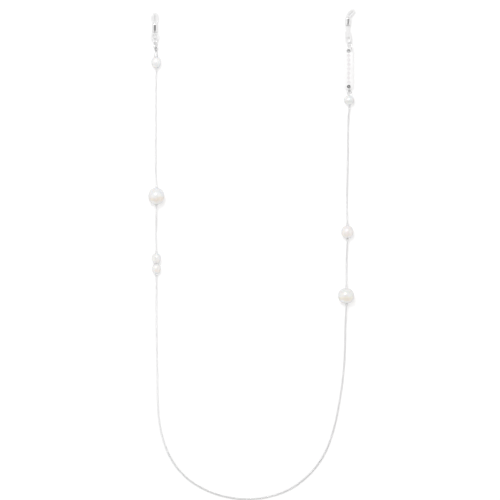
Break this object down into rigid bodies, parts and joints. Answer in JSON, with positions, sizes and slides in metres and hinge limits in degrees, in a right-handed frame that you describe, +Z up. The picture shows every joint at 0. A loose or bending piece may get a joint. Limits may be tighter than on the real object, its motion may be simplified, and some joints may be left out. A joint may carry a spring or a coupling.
{
  "type": "eyeglasses chain strap",
  "caption": "Fine snake-chain strap for eyeglasses with off-round pearls along it, a flat tag plate, and a soft silicone temple holder with a sliding cinch sleeve at each end.",
  "frame": {"origin": "middle of the strap's bounding box, on the plane it lies on", "axes": "+Z up from the plane the strap lies on, +Y from the bottom of the U towards the two temple holders, +X towards the side that carries the tag plate"},
  "size_m": [0.1423, 0.3389, 0.0108],
  "materials": {
    "chain": "bright plated snake chain, fine ribbed surface",
    "findings": "polished plated wire, rings and crimps",
    "sleeve": "mirror-polished tube",
    "tag": "bright plated plate, very fine brushed grain, plain engraved pattern",
    "silicone": "clear to milky translucent, satin",
    "pearl_white": "nacre, soft gloss, warm white",
    "pearl_rose": "nacre, soft gloss, faint rose, growth rings",
    "pearl_cream": "nacre, soft gloss, faint cream"
  },
  "bodies": {
    "chain_bottom": {"chain_bottom": "chain"},
    "chain_bottom_left": {"chain_bottom_left": "chain"},
    "chain_left_4": {"chain_left_4": "chain"},
    "chain_left_3": {"chain_left_3": "chain", "crimp_left_3_upper": "findings", "crimp_left_4_lower": "findings"},
    "chain_left_2": {"chain_left_2": "chain", "crimp_left_2_upper": "findings", "crimp_left_2_lower": "findings"},
    "chain_left_1": {"chain_left_1": "chain", "left_end_cone": "findings", "left_end_loop": "findings"},
    "left_link_ring": {"left_link_ring": "findings"},
    "left_holder_ring": {"left_holder_ring": "findings"},
    "left_holder": {"left_silicone_holder": "silicone"},
    "left_cinch": {"left_cinch_sleeve": "sleeve"},
    "chain_bottom_right": {"chain_bottom_right": "chain"},
    "chain_right_4": {"chain_right_4": "chain"},
    "chain_right_3": {"chain_right_3": "chain", "crimp_right_3_upper": "findings", "crimp_right_3_lower": "findings"},
    "chain_right_2": {"chain_right_2": "chain", "crimp_right_2_upper": "findings", "crimp_right_2_lower": "findings"},
    "chain_right_1": {"chain_right_1": "chain", "crimp_right_1_lower": "findings", "right_end_loop": "findings"},
    "right_lower_ring": {"right_lower_ring": "findings"},
    "tag": {"tag_plate": "tag"},
    "right_upper_ring": {"right_upper_ring": "findings"},
    "right_holder": {"right_silicone_holder": "silicone"},
    "right_cinch": {"right_cinch_sleeve": "sleeve"},
    "pearl_left_1": {"pearl_left_1": "pearl_white"},
    "pearl_left_2": {"pearl_left_2": "pearl_white"},
    "pearl_left_3": {"pearl_left_3": "pearl_white"},
    "pearl_left_4": {"pearl_left_4": "pearl_white"},
    "pearl_right_1": {"pearl_right_1": "pearl_white"},
    "pearl_right_2": {"pearl_right_2": "pearl_rose"},
    "pearl_right_3": {"pearl_right_3": "pearl_cream"}
  },
  "joints": [
    {"name": "bend_bottom_left", "type": "hinge", "parent": "chain_bottom", "child": "chain_bottom_left", "pos_m": [-0.04841, -0.15, 0.00063], "axis": [0, 0, 1], "range_deg": [-16, 60]},
    {"name": "bend_left_4", "type": "hinge", "parent": "chain_bottom_left", "child": "chain_left_4", "pos_m": [-0.06452, -0.1, 0.00063], "axis": [0, 0, -1], "range_deg": [-60, 22]},
    {"name": "bend_left_3", "type": "hinge", "parent": "chain_left_4", "child": "chain_left_3", "pos_m": [-0.06531, -0.045, 0.00063], "axis": [0, 0, 1], "range_deg": [-28, 60]},
    {"name": "bend_left_2", "type": "hinge", "parent": "chain_left_3", "child": "chain_left_2", "pos_m": [-0.06572, 0.0146, 0.00063], "axis": [0, 0, -1], "range_deg": [-60, 38]},
    {"name": "bend_left_1", "type": "hinge", "parent": "chain_left_2", "child": "chain_left_1", "pos_m": [-0.06583, 0.088, 0.00063], "axis": [0, 0, 1], "range_deg": [-60, 60]},
    {"name": "bend_bottom_right", "type": "hinge", "parent": "chain_bottom", "child": "chain_bottom_right", "pos_m": [0.0415, -0.15, 0.00063], "axis": [0, 0, 1], "range_deg": [-60, 16]},
    {"name": "bend_right_4", "type": "hinge", "parent": "chain_bottom_right", "child": "chain_right_4", "pos_m": [0.06117, -0.1, 0.00063], "axis": [0, 0, -1], "range_deg": [-22, 60]},
    {"name": "bend_right_3", "type": "hinge", "parent": "chain_right_4", "child": "chain_right_3", "pos_m": [0.0647, -0.065, 0.00063], "axis": [0, 0, 1], "range_deg": [-60, 28]},
    {"name": "bend_right_2", "type": "hinge", "parent": "chain_right_3", "child": "chain_right_2", "pos_m": [0.06586, -0.0055, 0.00063], "axis": [0, 0, -1], "range_deg": [-38, 60]},
    {"name": "bend_right_1", "type": "hinge", "parent": "chain_right_2", "child": "chain_right_1", "pos_m": [0.06667, 0.062, 0.00063], "axis": [0, 0, 1], "range_deg": [-60, 60]},
    {"name": "pearl_left_1_spin", "type": "hinge", "parent": "chain_left_1", "child": "pearl_left_1", "pos_m": [-0.06555, 0.13275, 0.0032], "axis": [0, 1, 0], "continuous": true},
    {"name": "pearl_left_2_spin", "type": "hinge", "parent": "chain_left_2", "child": "pearl_left_2", "pos_m": [-0.06535, 0.0405, 0.0054], "axis": [0, 1, 0], "continuous": true},
    {"name": "pearl_left_3_spin", "type": "hinge", "parent": "chain_left_3", "child": "pearl_left_3", "pos_m": [-0.06538, -0.00245, 0.00298], "axis": [0, 1, 0], "continuous": true},
    {"name": "pearl_left_4_spin", "type": "hinge", "parent": "chain_left_3", "child": "pearl_left_4", "pos_m": [-0.06538, -0.00955, 0.00298], "axis": [0, 1, 0], "continuous": true},
    {"name": "pearl_right_1_spin", "type": "hinge", "parent": "chain_right_1", "child": "pearl_right_1", "pos_m": [0.06772, 0.1068, 0.0034], "axis": [0, 1, 0], "continuous": true},
    {"name": "pearl_right_2_spin", "type": "hinge", "parent": "chain_right_2", "child": "pearl_right_2", "pos_m": [0.06627, 0.0159, 0.00405], "axis": [0, 1, 0], "continuous": true},
    {"name": "pearl_right_3_spin", "type": "hinge", "parent": "chain_right_3", "child": "pearl_right_3", "pos_m": [0.06558, -0.0281, 0.0054], "axis": [0, 1, 0], "continuous": true},
    {"name": "left_link_ring_swing", "type": "hinge", "parent": "chain_left_1", "child": "left_link_ring", "pos_m": [-0.06562, 0.1433, 0.00315], "axis": [0.4695, 0, 0.8829], "range_deg": [-60, 60]},
    {"name": "left_holder_ring_swing", "type": "hinge", "parent": "left_link_ring", "child": "left_holder_ring", "pos_m": [-0.06585, 0.14566, 0.00302], "axis": [0.9205, 0, -0.3907], "range_deg": [-50, 65]},
    {"name": "left_holder_swing", "type": "hinge", "parent": "left_holder_ring", "child": "left_holder", "pos_m": [-0.0664, 0.14985, 0.0024], "axis": [0, 0, 1], "range_deg": [-50, 50]},
    {"name": "left_cinch_slide", "type": "slide", "parent": "left_holder", "child": "left_cinch", "axis": [0, 1, 0], "range_m": [-0.0004, 0.0012]},
    {"name": "right_lower_ring_swing", "type": "hinge", "parent": "chain_right_1", "child": "right_lower_ring", "pos_m": [0.06772, 0.11335, 0.0034], "axis": [1, 0, 0], "range_deg": [-50, 60]},
    {"name": "tag_swing", "type": "hinge", "parent": "right_lower_ring", "child": "tag", "pos_m": [0.06745, 0.1162, 0.002], "axis": [0, 0, 1], "range_deg": [-50, 50]},
    {"name": "right_upper_ring_swing", "type": "hinge", "parent": "tag", "child": "right_upper_ring", "pos_m": [0.0673, 0.1423, 0.002], "axis": [0.8829, 0, -0.4695], "range_deg": [-35, 35]},
    {"name": "right_holder_swing", "type": "hinge", "parent": "right_upper_ring", "child": "right_holder", "pos_m": [0.06755, 0.14675, 0.0024], "axis": [0, 0, 1], "range_deg": [-45, 45]},
    {"name": "right_cinch_slide", "type": "slide", "parent": "right_holder", "child": "right_cinch", "axis": [0.0772, 0.997, 0], "range_m": [-0.003, 0.0004]}
  ]
}
